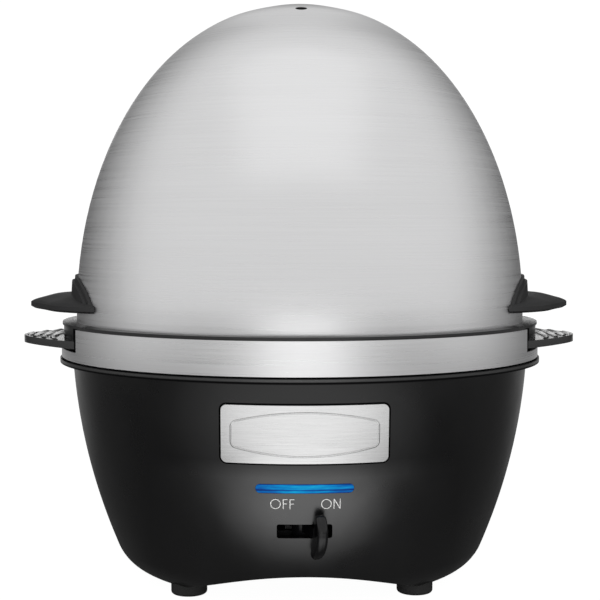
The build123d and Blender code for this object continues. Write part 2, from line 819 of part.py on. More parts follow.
with BuildPart() as board_screws:
    with BuildSketch(Plane.XZ.offset(board_front - board_size[1])):
        with Locations((0, lens_level + board_post_rise)):
            with GridLocations(board_screw_spacing, 1, 2, 1):
                Circle(2 * board_screw_radius)
    extrude(amount=-2 * board_screw_radius)
    with BuildSketch(Plane.XZ.offset(board_front - board_size[1])):
        with Locations((0, lens_level + board_post_rise)):
            with GridLocations(board_screw_spacing, 1, 2, 1):
                Circle(board_screw_radius)
    extrude(amount=board_size[1] + bowl_wall - fixed_gap)
board_screws.part.label = "board_screws"
export_step(board_screws.part, "parts/board_screws.step")

# Switch bracket: plate on the bottom cover with the boss that the lever's pin stands in
hub_bottom = lever_level - lever_hub_height / 2
hub_top = lever_level + lever_hub_height / 2
fork_line = fork_reach - pivot_offset
with BuildPart() as switch_bracket:
    with BuildSketch(Plane.XY.offset(cover_top)):
        with Locations((0, fork_line)):
            Rectangle(bracket_width, bracket_depth)
        with Locations((0, fork_line)):
            Rectangle(2 * lever_hub_radius, fork_reach, align=(Align.CENTER, Align.MAX))
        with Locations((0, -pivot_offset)):
            Circle(lever_hub_radius)
        with Locations((0, fork_line)):
            with GridLocations(bracket_screw_spacing, 1, 2, 1):
                Circle(screw_radius, mode=Mode.SUBTRACT)
    extrude(amount=bracket_thickness)
    with BuildSketch(Plane.XY.offset(cover_top)):
        with Locations((0, -pivot_offset)):
            Circle(lever_hub_radius)
    extrude(amount=hub_bottom - slide_gap - cover_top)
    with BuildSketch(Plane.XY.offset(cover_top)):
        with Locations((0, -pivot_offset)):
            Circle(lever_pin_radius)
    extrude(amount=hub_bottom - cover_top, mode=Mode.SUBTRACT)
switch_bracket.part.label = "switch_bracket"
export_step(switch_bracket.part, "parts/switch_bracket.step")

# Pin that the lever turns on, with its retaining head
with BuildPart() as lever_pin:
    with BuildSketch(Plane.XY.offset(cover_top)):
        with Locations((0, -pivot_offset)):
            Circle(lever_pin_radius)
    extrude(amount=hub_top + slide_gap - cover_top)
    with BuildSketch(Plane.XY.offset(hub_top + slide_gap)):
        with Locations((0, -pivot_offset)):
            Circle(pin_head_radius)
    extrude(amount=pin_head_height)
lever_pin.part.label = "lever_pin"
export_step(lever_pin.part, "parts/lever_pin.step")

# Fin of the switch lever: a half disc that stands off the wall, with its edges rounded
fin_middle = lever_level - fin_drop
fin_back = [
    (pivot_offset - bowl_radius(level) - fin_clearance, level)
    for level in (fin_middle - fin_height / 2, fin_middle + fin_height / 2)
]
with BuildPart() as lever_fin:
    with BuildSketch(Plane.YZ.offset(-fin_thickness / 2)):
        with BuildLine():
            Line(*fin_back)
            ThreePointArc(fin_back[1], (-fin_reach, fin_middle + fin_tip_rise), fin_back[0])
        make_face()
    extrude(amount=fin_thickness)
    fillet(lever_fin.edges().filter_by(Axis.X), fin_corner)
    fillet(lever_fin.edges().filter_by(Axis.X, reverse=True), fin_round)

# Switch lever, built pointing straight out and turned to the ON side
neck_length = pivot_depth + fin_clearance + fin_thickness / 2
with BuildPart() as straight_lever:
    with BuildSketch(Plane.XY.offset(hub_bottom)):
        Circle(lever_hub_radius)
    extrude(amount=lever_hub_height)
    with BuildSketch(Plane.XY.offset(lever_level - lever_neck_height / 2)):
        Rectangle(lever_neck_width, neck_length, align=(Align.CENTER, Align.MAX))
    extrude(amount=lever_neck_height)
    add(lever_fin.part)
    with BuildSketch(Plane.XY.offset(lever_level - fork_height / 2)):
        Rectangle(fork_width, fork_length, align=(Align.CENTER, Align.MIN))
    extrude(amount=fork_height)
    with BuildSketch(Plane.XY.offset(lever_level - fork_height / 2)):
        with Locations((0, fork_reach - slider_pin_radius - slide_gap)):
            Rectangle(
                2 * (slider_pin_radius + slide_gap), fork_length, align=(Align.CENTER, Align.MIN)
            )
    extrude(amount=fork_height, mode=Mode.SUBTRACT)
    with BuildSketch(Plane.XY.offset(hub_bottom)):
        Circle(lever_pin_radius + pin_gap)
    extrude(amount=lever_hub_height, mode=Mode.SUBTRACT)
with BuildPart() as switch_lever:
    with Locations(Location((0, -pivot_offset, 0), (0, 0, lever_angle))):
        add(straight_lever.part)
switch_lever.part.label = "switch_lever"
export_step(switch_lever.part, "parts/switch_lever.step")

# Switch body with the slot that its slider runs in
slider_throw = fork_reach * sin(radians(lever_angle)) / cos(radians(lever_angle))
with BuildPart() as switch_body:
    with BuildSketch(Plane.XY.offset(bracket_top)):
        with Locations((0, fork_line)):
            Rectangle(switch_size[0], switch_size[1])
    extrude(amount=switch_size[2])
    with BuildSketch(Plane.XY.offset(switch_top)):
        with Locations((0, fork_line)):
            Rectangle(
                slider_tongue[0] + 2 * (slider_throw + fixed_gap), slider_tongue[1] + 2 * slide_gap
            )
    extrude(amount=-(slider_tongue[2] + slide_gap), mode=Mode.SUBTRACT)
switch_body.part.label = "switch_body"
export_step(switch_body.part, "parts/switch_body.step")

# Slider of the switch: tongue, plate and the pin that stands in the lever's fork
plate_bottom = switch_top + slide_gap
with BuildPart() as switch_slider:
    with BuildSketch(Plane.XY.offset(plate_bottom)):
        with Locations((-slider_throw, fork_line)):
            Rectangle(slider_plate[0], slider_plate[1])
    extrude(amount=slider_plate[2])
    with BuildSketch(Plane.XY.offset(plate_bottom)):
        with Locations((-slider_throw, fork_line)):
            Rectangle(slider_tongue[0], slider_tongue[1])
    extrude(amount=-slider_tongue[2])
    with BuildSketch(Plane.XY.offset(plate_bottom)):
        with Locations((-slider_throw, fork_line)):
            Circle(slider_pin_radius)
    extrude(amount=lever_level + fork_height / 2 + slide_gap - plate_bottom)
switch_slider.part.label = "switch_slider"
export_step(switch_slider.part, "parts/switch_slider.step")

# Screws from below through the cover into the switch bracket
with BuildPart() as bracket_screws:
    with BuildSketch(Plane.XY.offset(cover_level)):
        with Locations((0, fork_line)):
            with GridLocations(bracket_screw_spacing, 1, 2, 1):
                Circle(screw_head_radius)
    extrude(amount=-screw_head_height)
    with BuildSketch(Plane.XY.offset(cover_level)):
        with Locations((0, fork_line)):
            with GridLocations(bracket_screw_spacing, 1, 2, 1):
                Circle(screw_radius)
    extrude(amount=cover_thickness + bracket_thickness)
bracket_screws.part.label = "bracket_screws"
export_step(bracket_screws.part, "parts/bracket_screws.step")

# Bottom cover: recessed disc with cooling slots and screw holes
with BuildPart() as bottom_cover:
    with BuildSketch(Plane.XY.offset(cover_level)):
        Circle(cover_radius)
        with Locations((0, cover_slot_offset)):
            with GridLocations(1, cover_slot_pitch, 1, cover_slot_count):
                SlotOverall(cover_slot_length, cover_slot_width, mode=Mode.SUBTRACT)
        for side in (1, -1):
            with PolarLocations(cover_screw_circle, 2, start_angle=side * cover_screw_angle):
                Circle(screw_radius + sheet_gap, mode=Mode.SUBTRACT)
        with Locations((0, fork_line)):
            with GridLocations(bracket_screw_spacing, 1, 2, 1):
                Circle(screw_radius + sheet_gap, mode=Mode.SUBTRACT)
    extrude(amount=cover_thickness)
bottom_cover.part.label = "bottom_cover"
export_step(bottom_cover.part, "parts/bottom_cover.step")

with BuildPart() as cover_screws:
    with BuildSketch(Plane.XY.offset(cover_level)):
        for side in (1, -1):
            with PolarLocations(cover_screw_circle, 2, start_angle=side * cover_screw_angle):
                Circle(screw_head_radius)
    extrude(amount=-screw_head_height)
    with BuildSketch(Plane.XY.offset(cover_level)):
        for side in (1, -1):
            with PolarLocations(cover_screw_circle, 2, start_angle=side * cover_screw_angle):
                Circle(screw_radius)
    extrude(amount=cover_thickness + cover_boss_height - 2 * bowl_wall)
cover_screws.part.label = "cover_screws"
export_step(cover_screws.part, "parts/cover_screws.step")

# Four rubber feet with a recessed screw each
foot_places = {
    "foot_front_left": (-1, -1),
    "foot_front_right": (1, -1),
    "foot_rear_left": (-1, 1),
    "foot_rear_right": (1, 1),
}
foot_recess = foot_height / 2
for foot_name, (side, end) in foot_places.items():
    foot_centre = (side * foot_spacing / 2, end * foot_spacing / 2)
    with BuildPart() as foot:
        with BuildSketch(Plane.XY):
            with Locations(foot_centre):
                Circle(foot_radius)
        extrude(amount=foot_height)
        fillet(foot.edges().group_by(Axis.Z)[0], foot_edge_round)
        with BuildSketch(Plane.XY):
            with Locations(foot_centre):
                Circle(screw_head_radius + slide_gap)
        extrude(amount=foot_recess, mode=Mode.SUBTRACT)
        with BuildSketch(Plane.XY):
            with Locations(foot_centre):
                Circle(screw_radius + sheet_gap)
        extrude(amount=foot_height, mode=Mode.SUBTRACT)
    foot.part.label = foot_name
    export_step(foot.part, f"parts/{foot_name}.step")

with BuildPart() as foot_screws:
    with BuildSketch(Plane.XY.offset(foot_recess)):
        with GridLocations(foot_spacing, foot_spacing, 2, 2):
            Circle(screw_head_radius)
    extrude(amount=-screw_head_height)
    with BuildSketch(Plane.XY.offset(foot_recess)):
        with GridLocations(foot_spacing, foot_spacing, 2, 2):
            Circle(screw_radius)
    extrude(amount=foot_height - foot_recess + foot_post_height - bowl_wall)
foot_screws.part.label = "foot_screws"
export_step(foot_screws.part, "parts/foot_screws.step")

# Cord gland at the back with the nut that holds it from inside
with BuildPart() as cord_gland:
    with BuildSketch(Plane.XZ.offset(-gland_pad_face)):
        with Locations((0, gland_level)):
            Circle(gland_flange_radius)
    extrude(amount=-gland_flange_thickness)
    with BuildSketch(Plane.XZ.offset(-gland_pad_face)):
        with Locations((0, gland_level)):
            Circle(gland_barrel_radius)
    extrude(amount=gland_barrel_length)
    with BuildSketch(Plane.XZ.offset(-gland_pad_face - gland_flange_thickness)):
        with Locations((0, gland_level)):
            Circle(gland_bore_radius)
    extrude(amount=gland_flange_thickness + gland_barrel_length, mode=Mode.SUBTRACT)
cord_gland.part.label = "cord_gland"
export_step(cord_gland.part, "parts/cord_gland.step")

with BuildPart() as gland_nut:
    with BuildSketch(Plane.XZ.offset(gland_pad_thickness - gland_pad_face)):
        with Locations((0, gland_level)):
            RegularPolygon(gland_flange_radius, 6)
            Circle(gland_barrel_radius + pin_gap, mode=Mode.SUBTRACT)
    extrude(amount=gland_nut_thickness)
gland_nut.part.label = "gland_nut"
export_step(gland_nut.part, "parts/gland_nut.step")

# Terminal block on the cover, where the cord's wires end
with BuildPart() as terminal_block:
    with BuildSketch(Plane.XY.offset(cover_top)):
        with Locations((0, terminal_block_offset)):
            Rectangle(terminal_block_size[0], terminal_block_size[1])
    extrude(amount=terminal_block_size[2])
    with BuildSketch(Plane.XY.offset(cover_top + terminal_block_size[2])):
        with Locations((0, terminal_block_offset)):
            with GridLocations(terminal_block_size[0] / 3, 1, 3, 1):
                Circle(screw_radius)
    extrude(amount=-terminal_block_size[2] / 2, mode=Mode.SUBTRACT)
terminal_block.part.label = "terminal_block"
export_step(terminal_block.part, "parts/terminal_block.step")

# Egg rack: tray with ten egg seats, a flat rim and two ribbed handles
handle_plane = notch_level + drop_in_gap
handle_top = handle_plane + rack_handle_thickness
rib_share = 1 - rib_inset / rack_handle_reach
with BuildPart() as rack_handle:
    with BuildSketch(Plane.XY.offset(handle_plane)):
        with BuildLine():
            rack_handle_outline(1)
        make_face()
    extrude(amount=rack_handle_thickness)
    with BuildSketch(Plane.XY.offset(handle_top)):
        with BuildLine():
            rack_handle_outline(rib_share)
        make_face()
    extrude(amount=rib_rise - rib_width / 2, mode=Mode.SUBTRACT)
    with BuildSketch(Plane.XY.offset(handle_plane)):
        with BuildLine():
            ring_sector(saddle_outer_radius - saddle_wall, saddle_outer_radius, saddle_half_angle)
        make_face()
    extrude(amount=frame_top - handle_plane)

with BuildPart() as handle_ribs:
    with BuildSketch(Plane.XZ):
        for number in range(rib_count):
            rib_radius = saddle_outer_radius + rib_start + number * rib_pitch
            with Locations((rib_radius, handle_top + rib_rise - rib_width / 2)):
                Circle(rib_width / 2)
    revolve(axis=Axis.Z)
    with BuildSketch(Plane.XY.offset(handle_plane)):
        with BuildLine():
            rack_handle_outline(rib_share)
        make_face()
    extrude(amount=rack_handle_thickness + rib_rise, mode=Mode.INTERSECT)

with BuildPart() as egg_rack:
    with BuildSketch(Plane.XZ):
        with BuildLine():
            wall_inner = rack_wall_radius - rack_wall_thickness
            Polyline(
                (0, rack_bottom), (rack_wall_radius, rack_bottom), (rack_wall_radius, frame_top),
                (rim_radius, frame_top), (rim_radius, rim_top), (bead_outer_radius, rim_top),
                (bead_outer_radius, rim_top + bead_height),
                (bead_outer_radius - bead_width, rim_top + bead_height),
                (wall_inner, rim_top), (wall_inner, rack_floor_top), (0, rack_floor_top),
                (0, rack_bottom),
            )
        make_face()
    revolve(axis=Axis.Z)
    with BuildSketch(Plane.XY.offset(rack_floor_top)):
        with PolarLocations(outer_egg_circle, outer_egg_count):
            Circle(egg_hole_radius + egg_collar_wall)
        with GridLocations(2 * inner_egg_offset, 1, 2, 1):
            Circle(egg_hole_radius + egg_collar_wall)
    extrude(amount=egg_collar_height)
    with BuildSketch(Plane.XY.offset(rack_bottom)):
        with PolarLocations(steam_hole_circle, outer_egg_count, start_angle=180 / outer_egg_count):
            Circle(steam_hole_radius)
    extrude(amount=rack_floor_thickness, mode=Mode.SUBTRACT)
    egg_seat_radius = egg_hole_radius + egg_seat_flare
    with Locations((0, 0, rack_floor_top + egg_collar_height)):
        with PolarLocations(outer_egg_circle, outer_egg_count):
            CounterSinkHole(egg_hole_radius, egg_seat_radius, counter_sink_angle=egg_seat_angle)
        with GridLocations(2 * inner_egg_offset, 1, 2, 1):
            CounterSinkHole(egg_hole_radius, egg_seat_radius, counter_sink_angle=egg_seat_angle)
    for handle_piece in (rack_handle.part, handle_ribs.part):
        add(handle_piece)
        add(handle_piece, rotation=(0, 0, 180))
egg_rack.part.label = "egg_rack"
export_step(egg_rack.part, "parts/egg_rack.step")

# Lid: egg-shaped steel dome with a steam vent in front of its crown
with BuildPart() as lid_dome:
    with BuildSketch(Plane.XZ):
        with BuildLine():
            lid_outline(0, rim_top)
        make_face()
        with BuildLine():
            lid_outline(-lid_sheet, rim_top)
        make_face(mode=Mode.SUBTRACT)
    revolve(axis=Axis.Z)
    with BuildSketch(Plane.XY.offset(rim_top + lid_height / 2)):
        with Locations((0, -vent_offset)):
            Circle(vent_radius)
    extrude(amount=lid_height, mode=Mode.SUBTRACT)
    for middle in side_angles:
        for side in (1, -1):
            turn = middle + side * handle_screw_angle
            outward = (cos(radians(turn)), sin(radians(turn)), 0)
            with BuildSketch(Plane(origin=(0, 0, rim_top + handle_screw_level), z_dir=outward)):
                Circle(screw_radius + sheet_gap)
            extrude(amount=lid_radius + lid_sheet, mode=Mode.SUBTRACT)
lid_dome.part.label = "lid_dome"
export_step(lid_dome.part, "parts/lid_dome.step")

# Pad of a lid handle: a thin layer with a thicker one inside its edge
pad_layers = []
for inset, growth in ((0, pad_edge_thickness), (pad_edge_width, pad_thickness)):
    with BuildPart() as pad_layer:
        with BuildSketch(Plane.YZ):
            with BuildLine():
                pad_outline(inset)
            make_face()
        extrude(amount=lid_radius + wing_reach)
        with BuildSketch(Plane.XZ):
            with BuildLine():
                lid_outline(growth, rim_top)
            make_face()
        revolve(axis=Axis.Z, mode=Mode.INTERSECT)
    pad_layers.append(pad_layer.part)

# Lid handles: a pad that lies on the lid and a wing for the fingers
with BuildPart() as lid_handle_right:
    for layer in pad_layers:
        add(layer)
    for rise, share in ((0, 1 - wing_edge_round / wing_reach), (wing_edge_round, 1)):
        with BuildSketch(Plane.XY.offset(rim_top + wing_underside + rise)):
            with BuildLine():
                wing_outline(share)
            make_face()
    loft()
    with BuildSketch(Plane.XY.offset(rim_top + wing_underside + wing_edge_round)):
        with BuildLine():
            wing_outline(1)
        make_face()
    extrude(amount=wing_edge - wing_edge_round)
    for rise, share in ((wing_edge, 1), *wing_steps):
        with BuildSketch(Plane.XY.offset(rim_top + wing_underside + rise)):
            with BuildLine():
                wing_outline(share)
            make_face()
    loft()
    with BuildSketch(Plane.XZ):
        with BuildLine():
            lid_outline(sheet_gap, rim_top)
        make_face()
    revolve(axis=Axis.Z, mode=Mode.SUBTRACT)
    for side in (1, -1):
        turn = side * handle_screw_angle
        outward = (cos(radians(turn)), sin(radians(turn)), 0)
        with BuildSketch(Plane(origin=(0, 0, rim_top + handle_screw_level), z_dir=outward)):
            Circle(screw_radius)
        extrude(amount=lid_inner_radius + handle_screw_length, mode=Mode.SUBTRACT)
lid_handle_right.part.label = "lid_handle_right"
export_step(lid_handle_right.part, "parts/lid_handle_right.step")

with BuildPart() as lid_handle_left:
    add(lid_handle_right.part, rotation=(0, 0, 180))
lid_handle_left.part.label = "lid_handle_left"
export_step(lid_handle_left.part, "parts/lid_handle_left.step")

# Washers and screws that hold the handles from inside the lid
washer_top_radius = lid_radius_at(rim_top + handle_screw_level + washer_radius, -lid_sheet)
washer_face = sqrt(washer_top_radius**2 - washer_radius**2) - sheet_gap
with BuildPart() as lid_handle_washers:
    for middle in side_angles:
        for side in (1, -1):
            turn = middle + side * handle_screw_angle
            outward = (cos(radians(turn)), sin(radians(turn)), 0)
            centre = (outward[0] * washer_face, outward[1] * washer_face, rim_top + handle_screw_level)
            with BuildSketch(Plane(origin=centre, z_dir=outward)):
                Circle(washer_radius)
                Circle(screw_radius + pin_gap, mode=Mode.SUBTRACT)
            extrude(amount=-washer_thickness)
lid_handle_washers.part.label = "lid_handle_washers"
export_step(lid_handle_washers.part, "parts/lid_handle_washers.step")

screw_face = washer_face - washer_thickness
with BuildPart() as lid_handle_screws:
    for middle in side_angles:
        for side in (1, -1):
            turn = middle + side * handle_screw_angle
            outward = (cos(radians(turn)), sin(radians(turn)), 0)
            centre = (outward[0] * screw_face, outward[1] * screw_face, rim_top + handle_screw_level)
            with BuildSketch(Plane(origin=centre, z_dir=outward)):
                Circle(screw_head_radius)
            extrude(amount=-screw_head_height)
            with BuildSketch(Plane(origin=centre, z_dir=outward)):
                Circle(screw_radius)
            extrude(amount=washer_thickness + handle_screw_length)
lid_handle_screws.part.label = "lid_handle_screws"
export_step(lid_handle_screws.part, "parts/lid_handle_screws.step")
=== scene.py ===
import math

import bmesh
import bpy
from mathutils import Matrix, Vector


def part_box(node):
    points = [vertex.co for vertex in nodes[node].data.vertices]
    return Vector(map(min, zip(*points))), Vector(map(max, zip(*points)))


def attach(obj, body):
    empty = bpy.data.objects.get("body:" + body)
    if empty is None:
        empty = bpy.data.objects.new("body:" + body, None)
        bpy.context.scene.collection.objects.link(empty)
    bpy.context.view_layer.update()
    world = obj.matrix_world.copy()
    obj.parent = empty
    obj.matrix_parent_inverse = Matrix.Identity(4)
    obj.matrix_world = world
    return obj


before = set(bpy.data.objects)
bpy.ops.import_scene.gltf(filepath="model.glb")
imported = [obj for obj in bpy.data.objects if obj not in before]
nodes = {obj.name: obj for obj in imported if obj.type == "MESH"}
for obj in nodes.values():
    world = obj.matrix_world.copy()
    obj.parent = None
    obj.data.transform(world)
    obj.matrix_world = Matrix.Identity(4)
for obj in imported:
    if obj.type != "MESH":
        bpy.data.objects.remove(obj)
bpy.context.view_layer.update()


def add_object(name, data):
    made = bpy.data.objects.new(name, data)
    bpy.context.scene.collection.objects.link(made)
    return made


# Camera: level with the lower third of the lid and a little to the left of the front

eye_distance = 0.5435
eye_height = 0.1366
eye_turn = math.radians(-1.2)
eye_pitch = math.radians(3.14)
# The aim passes the Z axis by a quarter of a pixel
aim_turn = eye_turn - 0.0002
focal_pixels = 1362.5
picture_pixels = 600.0
sensor_width = 36.0

camera_data = bpy.data.cameras.new("camera")
camera_data.sensor_width = sensor_width
camera_data.lens = focal_pixels / picture_pixels * sensor_width
camera_data.clip_start = 0.01
camera = add_object("camera", camera_data)
camera.location = (eye_distance * math.sin(eye_turn), -eye_distance * math.cos(eye_turn), eye_height)
camera.rotation_euler = (math.pi / 2 - eye_pitch, 0.0, aim_turn)
bpy.context.scene.camera = camera
bpy.context.scene.view_settings.view_transform = "Standard"


# Node helpers

class Graph:
    """A material's or world's node tree, with short calls for the nodes used here."""

    def __init__(self, tree):
        self.tree = tree
        self.tree.nodes.clear()

    def node(self, kind, **settings):
        made = self.tree.nodes.new(kind)
        for key, value in settings.items():
            setattr(made, key, value)
        return made

    def link(self, source, target):
        self.tree.links.new(source, target)

    def feed(self, value, socket):
        """Link another node's socket to this one, or set it to a number."""
        if isinstance(value, bpy.types.NodeSocket):
            self.link(value, socket)
        else:
            socket.default_value = value

    def math(self, operation, a, b=None, clamp=False):
        made = self.node("ShaderNodeMath", operation=operation, use_clamp=clamp)
        self.feed(a, made.inputs[0])
        if b is not None:
            self.feed(b, made.inputs[1])
        return made.outputs[0]

    def square_sum(self, a, b):
        return self.math("ADD", self.math("MULTIPLY", a, a), self.math("MULTIPLY", b, b))

    def spread(self, value, low, high, at_low, at_high):
        """A number that goes from at_low to at_high as the value goes from low to high."""
        made = self.node("ShaderNodeMapRange")
        for socket, number in zip(made.inputs, (value, low, high, at_low, at_high)):
            self.feed(number, socket)
        return made.outputs[0]

    def ramp(self, value, stops):
        made = self.node("ShaderNodeValToRGB")
        elements = made.color_ramp.elements
        while len(elements) < len(stops):
            elements.new(0.5)
        for element, (place, colour) in zip(elements, stops):
            element.position = place
            element.color = (*colour, 1.0)
        self.link(value, made.inputs[0])
        return made.outputs[0]

    def position(self):
        """The point in the object's own frame, as one vector and as x, y and z."""
        place = self.node("ShaderNodeTexCoord").outputs["Object"]
        parts = self.node("ShaderNodeSeparateXYZ")
        self.link(place, parts.inputs[0])
        return place, parts.outputs[0], parts.outputs[1], parts.outputs[2]

    def combine(self, x, y, z):
        made = self.node("ShaderNodeCombineXYZ")
        for socket, value in zip(made.inputs, (x, y, z)):
            self.feed(value, socket)
        return made.outputs[0]

    def noise(self, vector, scale=1.0, detail=3.0, rough=0.5):
        made = self.node("ShaderNodeTexNoise")
        self.feed(vector, made.inputs["Vector"])
        made.inputs["Scale"].default_value = scale
        made.inputs["Detail"].default_value = detail
        made.inputs["Roughness"].default_value = rough
        return made.outputs["Fac"]

    def bump(self, height, strength, distance):
        made = self.node("ShaderNodeBump")
        made.inputs["Strength"].default_value = strength
        made.inputs["Distance"].default_value = distance
        self.link(height, made.inputs["Height"])
        return made.outputs["Normal"]


def new_material(name, **constants):
    """A material with one shader, whose constants are named as its sockets with _ for each space."""
    material = bpy.data.materials.new(name)
    material.use_nodes = True
    graph = Graph(material.node_tree)
    shader = graph.node("ShaderNodeBsdfPrincipled")
    output = graph.node("ShaderNodeOutputMaterial")
    graph.link(shader.outputs[0], output.inputs[0])
    for key, value in constants.items():
        shader.inputs[key.replace("_", " ")].default_value = value
    return material, graph, shader


def drift(graph, pattern, colour, darker, lighter=1.0, low=0.3, high=0.7):
    """The colour times darker where the pattern is low, running to times lighter where it is high.

    Most of a noise's values fall between low and high.
    """
    stops = [
        (place, tuple(min(1.0, factor * part) for part in colour))
        for place, factor in ((low, darker), (high, lighter))
    ]
    return graph.ramp(pattern, stops)


# Levels of the front fittings' middles above the floor, as in the CAD

lens_level = 0.0469
badge_level = 0.0660


# Materials

def outside_badge_groove(graph, x, y, z):
    """0 inside the groove round the badge plate, a rounded rectangle on the front wall, and 1 elsewhere; the
    base's specular level times it paints shade into the groove.
    """
    half_width = 0.02925
    half_height = 0.01075
    corner_radius = 0.00265
    past_x = graph.math("SUBTRACT", graph.math("ABSOLUTE", x), half_width - corner_radius)
    past_z = graph.math("ABSOLUTE", graph.math("SUBTRACT", z, badge_level))
    past_z = graph.math("SUBTRACT", past_z, half_height - corner_radius)
    past_x = graph.math("MAXIMUM", past_x, 0.0)
    past_z = graph.math("MAXIMUM", past_z, 0.0)
    outside = graph.math("GREATER_THAN", graph.square_sum(past_x, past_z), corner_radius ** 2)
    behind = graph.math("GREATER_THAN", y, 0.0)
    return graph.math("MAXIMUM", outside, behind)


def painted_lip_light(graph, z):
    """Specular level of the base, painting light: a painted highlight on the flange's edge between two lines
    of painted shade, one below the edge and one in the gap under the band.
    """
    flange_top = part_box("upper_frame")[0][2]
    lip_low = flange_top - 0.0025
    lip_high = flange_top + 0.001
    plain = 0.5
    painted_shade_level = 0.03
    painted_highlight_level = 1.0
    painted_shadow_level = 0.0
    stops = (
        (0.0, plain), (0.1, painted_shade_level), (0.4, painted_shade_level), (0.5, painted_highlight_level),
        (0.68, painted_highlight_level), (0.74, painted_shadow_level), (0.9, painted_shadow_level), (1.0, plain),
    )
    rise = graph.spread(z, lip_low, lip_high, 0.0, 1.0)
    return graph.ramp(rise, [(place, (painted_light_level, painted_light_level, painted_light_level)) for place, painted_light_level in stops])


def painted_front_highlight(graph, x, y, z):
    """Specular level factor that paints a highlight: 2 on the front wall round the light and the lever,
    fading to 1 beside and above them.
    """
    zone_half_width = 0.035
    faded_half_width = 0.055
    zone_top = 0.0505
    faded_top = 0.0565
    from_middle = graph.math("ABSOLUTE", x)
    beside = graph.spread(from_middle, zone_half_width, faded_half_width, 1.0, 0.0)
    below = graph.spread(z, zone_top, faded_top, 1.0, 0.0)
    front = graph.math("MULTIPLY", graph.math("MULTIPLY", beside, below), graph.math("LESS_THAN", y, 0.0))
    return graph.math("ADD", front, 1.0)


def moulded_plastic(
    name, colour, roughness, grain=0.00004, level=0.5, polished_beyond=None, painted_base_light=False
):
    """Plastic with a fine eroded-mould grain and an uneven tone.

    polished_beyond is the distance from the middle past which it is smoother, and the flag after it gives the
    base painted light through its specular level: painted shade in the badge groove and beside the
    flange's edge, and painted highlights on that edge and round the light and the lever.
    """
    material, graph, shader = new_material(name, Specular_IOR_Level=level)
    place, x, y, z = graph.position()
    cloud = graph.noise(place, scale=28.0)
    fine = graph.noise(place, scale=3500.0, detail=2.0)
    patches = graph.noise(place, scale=60.0, detail=4.0)
    shade = drift(graph, cloud, colour, darker=0.82, lighter=1.18)
    graph.link(shade, shader.inputs["Base Color"])
    gloss = graph.spread(patches, 0.3, 0.7, roughness - 0.04, roughness + 0.04)
    if polished_beyond:
        fade_width = 0.003
        polish = 0.33
        sideways = graph.math("ABSOLUTE", x)
        smoother = graph.spread(sideways, polished_beyond, polished_beyond + fade_width, 1.0, polish)
        gloss = graph.math("MULTIPLY", gloss, smoother)
    graph.link(gloss, shader.inputs["Roughness"])
    graph.link(graph.bump(fine, 0.35, grain), shader.inputs["Normal"])
    if painted_base_light:
        # Painted light through the specular level: painted shade in the badge groove and beside the flange's
        # edge, painted highlights on that edge and round the light and the lever
        painted_light_level = graph.math("MULTIPLY", outside_badge_groove(graph, x, y, z), painted_lip_light(graph, z))
        painted_light_level = graph.math("MULTIPLY", painted_light_level, painted_front_highlight(graph, x, y, z))
        graph.link(painted_light_level, shader.inputs["Specular IOR Level"])
    return material


def turned_metal(name, colour, roughness, anisotropy, slope=0.9, line=0.0005, vent=None):
    """Sheet metal brushed round the Z axis, with fine unbroken lines and painted shade in and round a vent.

    line is the size of the lines down the face, slope is how far the face falls on its way outward,
    and vent is the y and the radius of a round opening.
    """
    line_turn = 14.0
    patch_turn = 9.0
    patch_fall = 60.0
    material, graph, shader = new_material(name, Metallic=1.0, Anisotropic=anisotropy)
    _, x, y, z = graph.position()
    outward = graph.math("SQRT", graph.square_sum(x, y))
    along = graph.math("SUBTRACT", z, graph.math("MULTIPLY", outward, slope))
    lines = graph.combine(
        graph.math("MULTIPLY", x, line_turn),
        graph.math("MULTIPLY", y, line_turn),
        graph.math("DIVIDE", along, line),
    )
    patches = graph.combine(
        graph.math("MULTIPLY", x, patch_turn),
        graph.math("MULTIPLY", y, patch_turn),
        graph.math("MULTIPLY", along, patch_fall),
    )
    line_share = 0.7
    patch_share = 0.3
    brushing = graph.noise(lines, detail=4.0, rough=0.62)
    wide = graph.math("MULTIPLY", graph.noise(patches), patch_share)
    tone = graph.math("ADD", graph.math("MULTIPLY", brushing, line_share), wide)
    shade = drift(graph, tone, colour, darker=0.95, lighter=1.04)
    if vent:
        vent_y, vent_radius = vent
        # Painted shade: the colour of the vent's inner wall and of a thin ring round it is darkened
        vent_shade_width = 0.0002
        vent_shade_tone = 0.02
        away = graph.math("SQRT", graph.square_sum(x, graph.math("SUBTRACT", y, vent_y)))
        edge = graph.spread(away, vent_radius, vent_radius + vent_shade_width, vent_shade_tone, 1.0)
        scaled = graph.node("ShaderNodeVectorMath", operation="SCALE")
        graph.link(shade, scaled.inputs[0])
        graph.link(edge, scaled.inputs["Scale"])
        shade = scaled.outputs[0]
    graph.link(shade, shader.inputs["Base Color"])
    gloss = graph.spread(brushing, 0.25, 0.75, roughness - 0.05, roughness + 0.05)
    graph.link(gloss, shader.inputs["Roughness"])
    graph.link(graph.bump(brushing, 0.12, 0.00002), shader.inputs["Normal"])
    tangent = graph.node("ShaderNodeTangent", direction_type="RADIAL", axis="Z")
    graph.link(tangent.outputs[0], shader.inputs["Tangent"])
    return material


def straight_brushed_metal(name, colour, roughness):
    """Flat upright metal brushed along X."""
    along_line = 60.0
    inward = 0.004
    line = 0.00025
    material, graph, shader = new_material(name, Metallic=1.0)
    _, x, y, z = graph.position()
    lines = graph.combine(
        graph.math("MULTIPLY", x, along_line),
        graph.math("DIVIDE", y, inward),
        graph.math("DIVIDE", z, line),
    )
    brushing = graph.noise(lines, detail=4.0, rough=0.6)
    shade = drift(graph, brushing, colour, darker=0.9, lighter=1.08)
    graph.link(shade, shader.inputs["Base Color"])
    gloss = graph.spread(brushing, 0.25, 0.75, roughness - 0.06, roughness + 0.06)
    graph.link(gloss, shader.inputs["Roughness"])
    graph.link(graph.bump(brushing, 0.2, 0.00002), shader.inputs["Normal"])
    return material


